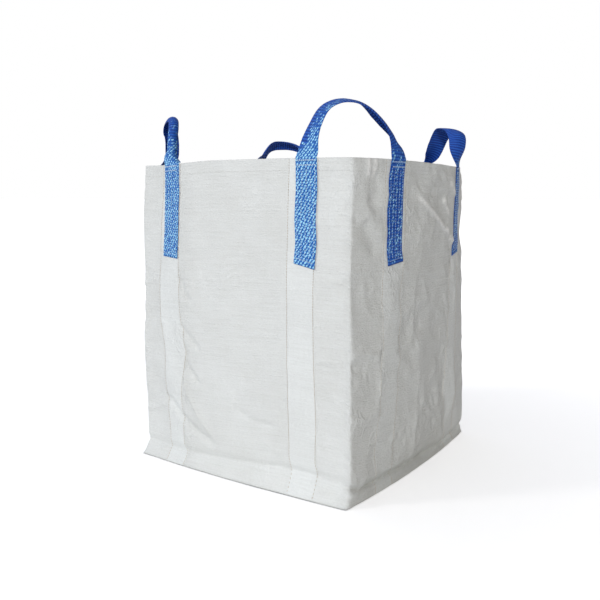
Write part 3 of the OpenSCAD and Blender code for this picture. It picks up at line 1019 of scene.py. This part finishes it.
class Paint(Nodes):
    """A node material on a named map, whose places are in metres."""

    def __init__(self, name, map_name):
        self.material = bpy.data.materials.new(name)
        self.material.use_nodes = True
        super().__init__(self.material.node_tree)
        self.shader = self.add("ShaderNodeBsdfPrincipled")
        self.add("ShaderNodeOutputMaterial", self.shader.outputs[0])
        split = self.add("ShaderNodeSeparateXYZ", self.add("ShaderNodeUVMap", uv_map=map_name).outputs[0])
        self.u, self.v = split.outputs[0], split.outputs[1]

    def place(self, su, sv, du=0.0, dv=0.0):
        """Vector of the map, scaled and shifted across and along."""
        x, y = self.times(self.u, su, du), self.times(self.v, sv, dv)
        return self.add("ShaderNodeCombineXYZ", x, y, 0.0).outputs[0]

    def noise(self, vector, scale=1.0, detail=2.0, rough=0.5, warp=0.0):
        node = self.add("ShaderNodeTexNoise", vector, None)
        for key, value in (("Scale", scale), ("Detail", detail), ("Roughness", rough), ("Distortion", warp)):
            node.inputs[key].default_value = value
        return node.outputs[0]

    def spots(self, *place, low, high, a=0.0, b=1.0, detail=2.0):
        """Smooth patches of noise on the map, between a and b."""
        return self.ramp(self.noise(self.place(*place), detail=detail), low, high, a, b)

    def given(self, name):
        """A value that the mesh carries at its points."""
        return self.add("ShaderNodeAttribute", attribute_name=name, attribute_type="GEOMETRY").outputs[2]

    def blend(self, kind, amount, a, b):
        node = self.add("ShaderNodeMix", data_type="RGBA", blend_type=kind)
        self.feed(node.inputs[0], amount)
        self.feed(node.inputs[6], a)
        self.feed(node.inputs[7], b)
        return node.outputs[2]

    def finish(self, colour, roughness, height=None, **constants):
        """Closes the paint; height is its bump, in metres."""
        self.feed(self.shader.inputs["Base Color"], colour)
        self.feed(self.shader.inputs["Roughness"], roughness)
        if height is not None:
            bump = self.add("ShaderNodeBump")
            bump.inputs["Strength"].default_value = 1.0
            bump.inputs["Distance"].default_value = 1.0
            self.feed(bump.inputs["Height"], height)
            self.tree.links.new(bump.outputs[0], self.shader.inputs["Normal"])
        for key, value in constants.items():
            self.shader.inputs[key.replace("_", " ")].default_value = value
        return self.material


TAPE = 0.0027


def woven_cloth(name, light, shade, ribs, crinkle):
    """Coated woven tape fabric: flat tapes, horizontal ribs, soft blotches and fine crease lines, with
    painted shade in the dips of the weave and grain.
    """
    m = Paint(name, "cloth")
    turns = 2 * math.pi / TAPE
    warp, weft = (m.math("SINE", m.times(side, pace)) for side, pace in ((m.u, turns), (m.v, turns * 0.96)))
    weave = m.times(warp, weft)
    streak = m.noise(m.place(3.2, 105), detail=3.0, rough=0.55)
    narrow = m.noise(m.place(9.0, 330, 4.0, 2.0))
    where = m.spots(3.4, 3.0, 1.7, 8.0, low=0.38, high=0.62, a=0.25)
    upright = m.noise(m.place(210, 4.0, 3.0))
    bent = m.noise(m.place(13, 10, 5.0), detail=3.0, rough=0.55, warp=0.6)
    crinkled_patches = m.spots(6, 5, 9.0, 3.0, low=0.50, high=0.68, detail=3.0)
    crease = m.times(m.ramp(m.off(bent, 0.5), 0.0, 0.05, 1.0, 0.0), crinkled_patches)
    ripple = m.times(streak, where)
    blotch = m.noise(m.place(5.5, 4.5, 2.0, 6.0), detail=4.0, rough=0.6)
    grain = m.noise(m.place(110, 230, 6.0, 1.0), detail=3.0, rough=0.7)
    crumpling_here = m.given("crumpling")
    rougher = m.times(crumpling_here, 1.2, 1.0)

    height = m.total((ripple, 0.0013 * ribs), (narrow, 0.0010 * ribs), (weave, 0.00006), (upright, 0.00012),
                     (crease, 0.0010 * crinkle), (m.times(grain, rougher), 0.0022 * crinkle),
                     (m.times(ripple, crumpling_here), 0.0020), (m.times(crease, crumpling_here), 0.0018))
    tone = m.ramp(m.total((blotch, 0.40), (streak, 0.22), (narrow, 0.30), (upright, 0.08)), 0.34, 0.72)
    base = m.colours(tone, [(0.0, shade), (0.55, light), (1.0, [min(1, c * 1.04) for c in light])])
    # Painted shade: darker where the weave and grain bumps dip, more so where the cloth is crumpled
    gap = m.times(m.ramp(m.total((weave, 0.5), (grain, 2.6)), 0.7, 1.6, 0.30, 0.0), rougher)
    base = m.blend("MULTIPLY", gap, base, (0.74, 0.75, 0.74, 1))
    # Lighter colour along the raised crinkle lines, more so where the cloth is crumpled
    base = m.blend("MIX", m.times(crease, m.times(crumpling_here, 0.16, 0.10)), base, (0.93, 0.95, 0.95, 1))
    # Painted highlight: lighter colour along the sharp creases, broken into patches
    broken = m.spots(42, 42, 3.0, 5.0, low=0.34, high=0.6, a=0.25, b=0.85)
    base = m.blend("MIX", m.times(m.given("crease_highlight"), broken), base, (0.97, 0.97, 0.95, 1))
    rough = m.math("ADD", m.total((blotch, 0.22), (streak, 0.12), (weave, 0.03)), 0.34)
    return m.finish(base, rough, height, Specular_IOR_Level=0.42)


def webbing(name):
    """Blue strap webbing: diagonal twill of shiny yarn; on the legs a paler blue and pale dashes, both
    painted light: the lit tint and the highlights of the yarn.
    """
    m = Paint(name, "webbing")
    # How much painted light each point of the webbing gets, set per leg and face
    sewn = m.given("sewn")
    wobble = m.noise(m.place(160, 90))
    twill = m.math("SINE", m.total((m.u, 1900.0), (m.v, -1250.0), (wobble, 1.3)))
    cross = m.math("SINE", m.total((m.u, 2350.0), (wobble, 1.0)))
    pick = m.math("SINE", m.total((m.v, 570.0), (wobble, 0.9)))
    yarn = m.total((twill, 0.25), (cross, 0.15), (pick, 0.6))
    edge = m.ramp(m.off(m.u, STRAP_W / 2 * MM), 0.0335, 0.038)
    drift = m.noise(m.place(14, 6, 2.0, 2.0), detail=3.0)
    deep, mid, bright = (0.004, 0.018, 0.140), (0.008, 0.056, 0.350), (0.028, 0.140, 0.560)
    tone = m.math("ADD", m.total((yarn, 0.52), (drift, 0.60)), 0.18)
    base = m.colours(tone, [(0.0, deep), (0.5, mid), (1.0, bright)])

    # Dashes of painted highlight on the yarn: slanted lanes, each shifted along by a chance of its own, and
    # a chance for each dash
    lane = m.total((m.u, 88.0), (m.v, -50.0), (wobble, 0.9))
    lane_number = m.math("FLOOR", lane)
    stagger = m.add("ShaderNodeTexWhiteNoise", None, lane_number, noise_dimensions="1D").outputs[0]
    along = m.total((m.v, 84.0), (m.u, 48.0), (stagger, 1.0), (wobble, 1.4))
    cell = m.add("ShaderNodeCombineXYZ", lane_number, m.math("FLOOR", along), 0.0).outputs[0]
    chance = m.add("ShaderNodeTexWhiteNoise", cell, noise_dimensions="2D").outputs[0]
    shown = m.ramp(m.total((chance, 0.8), (sewn, 0.85)), 0.60, 1.20)
    in_lane, in_dash = (m.off(m.math("FRACT", value), 0.5) for value in (lane, along))
    dash = m.times(m.ramp(in_lane, 0.15, 0.36, 1.0, 0.0), m.ramp(in_dash, 0.26, 0.46, 1.0, 0.0))
    fleck = m.times(dash, m.times(shown, m.ramp(sewn, 0.0, 0.3)))
    # Painted light: a paler blue on the legs, then the pale painted highlights
    base = m.blend("MIX", m.times(sewn, 0.62), base, (0.010, 0.132, 0.470, 1))
    base = m.blend("MIX", m.times(fleck, 0.95), base, (0.37, 0.75, 0.98, 1))
    height = m.total((yarn, 0.0004), (edge, 0.0004), (fleck, 0.0005))
    rough = m.math("ADD", m.total((drift, 0.2), (yarn, -0.06)), 0.48)
    return m.finish(base, rough, height, Specular_IOR_Level=0.22)


def thread(name, colour, dark):
    """Twisted sewing thread: shaded along its turns, a little fuzzy."""
    m = Paint(name, "cloth")
    place = m.add("ShaderNodeTexCoord").outputs["Object"]
    twist = m.noise(place, scale=900.0)
    soil = m.noise(place, scale=18.0, detail=3.0)
    base = m.colours(m.total((twist, 0.6), (soil, 0.4)), [(0.3, dark), (0.62, colour)])
    return m.finish(base, m.times(soil, 0.2, 0.55), m.times(twist, 0.0004))


# ---- build
cloth = woven_cloth("woven_fabric_paint", (0.725, 0.742, 0.728), (0.675, 0.688, 0.668), 1.0, 1.0)
band_cloth = woven_cloth("reinforced_fabric_paint", (0.755, 0.778, 0.768), (0.705, 0.724, 0.710), 0.45, 0.8)
blue = webbing("webbing_paint")
white_thread = thread("webbing_thread_paint", (0.64, 0.79, 0.93), (0.34, 0.52, 0.76))
seam_white = thread("seam_thread_paint", (0.74, 0.74, 0.71), (0.58, 0.58, 0.55))
# Tan band thread, partly its own tan and partly made darker to give the painted shade of the lines along the
# band edges
tan_thread_with_shade = thread("band_thread_and_shade_paint", (0.58, 0.50, 0.40), (0.42, 0.34, 0.25))

sleeve = body_sleeve(cloth)
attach(sleeve, "bag")
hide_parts(*[f"wall_{f}" for f in FACES], *[f"base_fin_{f}" for f in FACES], "top_hem")

bottom = bottom_sheet(cloth)
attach(bottom, "bag")
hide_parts("bottom_panel")

for f in range(4):
    for i in range(2):
        strip = band(f, i, band_cloth)
        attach(strip, "bag")
        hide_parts(f"band_{FACES[f]}_{SIDES[i]}")
        rows = leg_threads(f, i, white_thread)
        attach(rows, "bag")
        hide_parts(f"leg_stitching_{FACES[f]}_{SIDES[i]}")
    edges = band_threads(f, tan_thread_with_shade)
    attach(edges, "bag")
    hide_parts(f"band_stitching_{FACES[f]}")

seam_rows = [(hem_thread(seam_white), "hem_stitching"), (seam_thread(seam_white), "base_seam_stitching")]
for piece, node in seam_rows:
    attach(piece, "bag")
    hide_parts(node)

for k in range(4):
    loop = strap(k, blue)
    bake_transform(loop)
    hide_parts(f"leg_{FACES[k]}_right", f"leg_{FACES[(k + 1) % 4]}_left",
                f"loop_bend_{CORNERS[k]}", f"loop_arch_{CORNERS[k]}")


# ---- floor, light and camera
WHITE = (1, 1, 1, 1)


def studio_floor():
    """Pale floor with a painted shadow round the bag: its glow is dimmer near the bag and whiter away from
    it; most of its glow shows to the camera only.
    """
    mesh = bpy.data.meshes.new("floor")
    size = 200.0
    corners = [(-size, -size, 0), (size, -size, 0), (size, size, 0), (-size, size, 0)]
    mesh.from_pydata(corners, [], [(0, 1, 2, 3)])
    m = Paint("floor_paint", "cloth")
    spot = m.add("ShaderNodeTexCoord").outputs["Object"]
    away = m.add("ShaderNodeVectorMath", spot, operation="LENGTH").outputs["Value"]
    seen = m.add("ShaderNodeLightPath").outputs["Is Camera Ray"]
    # Painted shadow: the glow is dimmest near the bag and rises away from it
    glow = m.times(m.ramp(away, 0.6, 3.2, 0.42, 0.66), m.times(seen, 0.9, 0.1))
    m.shader.inputs["Emission Color"].default_value = WHITE
    m.feed(m.shader.inputs["Emission Strength"], glow)
    mesh.materials.append(m.finish((0.84, 0.84, 0.84, 1), 0.9, Specular_IOR_Level=0.1))
    floor = bpy.data.objects.new("floor", mesh)
    bpy.context.scene.collection.objects.link(floor)


COOL_SIDE = (-0.82, -0.35, 0.45)
COOL_LIGHT = (0.585, 0.615, 0.69)
WARM_LIGHT = (0.184, 0.148, 0.103)
SUNLIGHT = (1.0, 0.985, 0.955)


def studio_sky():
    """White backdrop; the room's light is cool and bright on one side, warm and dim on the other."""
    world = bpy.data.worlds.new("studio")
    bpy.context.scene.world = world
    world.use_nodes = True
    sky = Nodes(world.node_tree)
    direction = sky.add("ShaderNodeTexCoord").outputs["Generated"]
    side = sky.add("ShaderNodeVectorMath", direction, COOL_SIDE, operation="DOT_PRODUCT").outputs["Value"]
    tint = sky.colours(sky.ramp(side, -0.6, 0.6), [(0.0, WARM_LIGHT), (1.0, COOL_LIGHT)])
    room, backdrop = (sky.add("ShaderNodeBackground", colour).outputs[0] for colour in (tint, WHITE))
    seen = sky.add("ShaderNodeLightPath").outputs["Is Camera Ray"]
    sky.add("ShaderNodeOutputWorld", sky.add("ShaderNodeMixShader", seen, room, backdrop).outputs[0])


def sun(name, towards, strength, degrees):
    """Soft lamp that shines towards a direction."""
    light = bpy.data.lights.new(name, "SUN")
    light.color = SUNLIGHT
    light.energy = strength
    light.angle = math.radians(degrees)
    lamp = bpy.data.objects.new(name, light)
    x, y, z = towards
    lamp.rotation_euler = (math.atan2(math.hypot(x, y), -z), 0, math.atan2(y, x) - math.pi / 2)
    bpy.context.scene.collection.objects.link(lamp)


# Camera: degrees turned left and tilted down, and its place in metres from the front-right corner's foot
PAN, TILT = 33.91, 0.3
BEHIND, ASIDE, EYE_HEIGHT = 2.242, 0.1593, 0.977
LENS, SENSOR = 43.25, 36
SHIFT = -0.1657


def camera():
    """Standing a little left of the front-right corner."""
    turn = math.radians(PAN)
    ahead = np.array([-math.sin(turn), math.cos(turn)])
    aside = np.array([math.cos(turn), math.sin(turn)])
    corner = np.array([WIDTH / 2, -WIDTH / 2]) * MM
    spot = corner - BEHIND * ahead - ASIDE * aside
    data = bpy.data.cameras.new("camera")
    data.sensor_width = SENSOR
    data.lens = LENS
    data.shift_y = SHIFT
    eye = bpy.data.objects.new("camera", data)
    eye.location = (spot[0], spot[1], EYE_HEIGHT)
    eye.rotation_euler = (math.pi / 2 - math.radians(TILT), 0, turn)
    bpy.context.scene.collection.objects.link(eye)
    bpy.context.scene.camera = eye


studio_floor()
studio_sky()
sun("window", (0.8, 0.8, -0.55), 0.60, 10)
sun("room", (-0.485, 1.0, -0.42), 1.37, 7)
camera()
bpy.context.scene.view_settings.view_transform = "Standard"
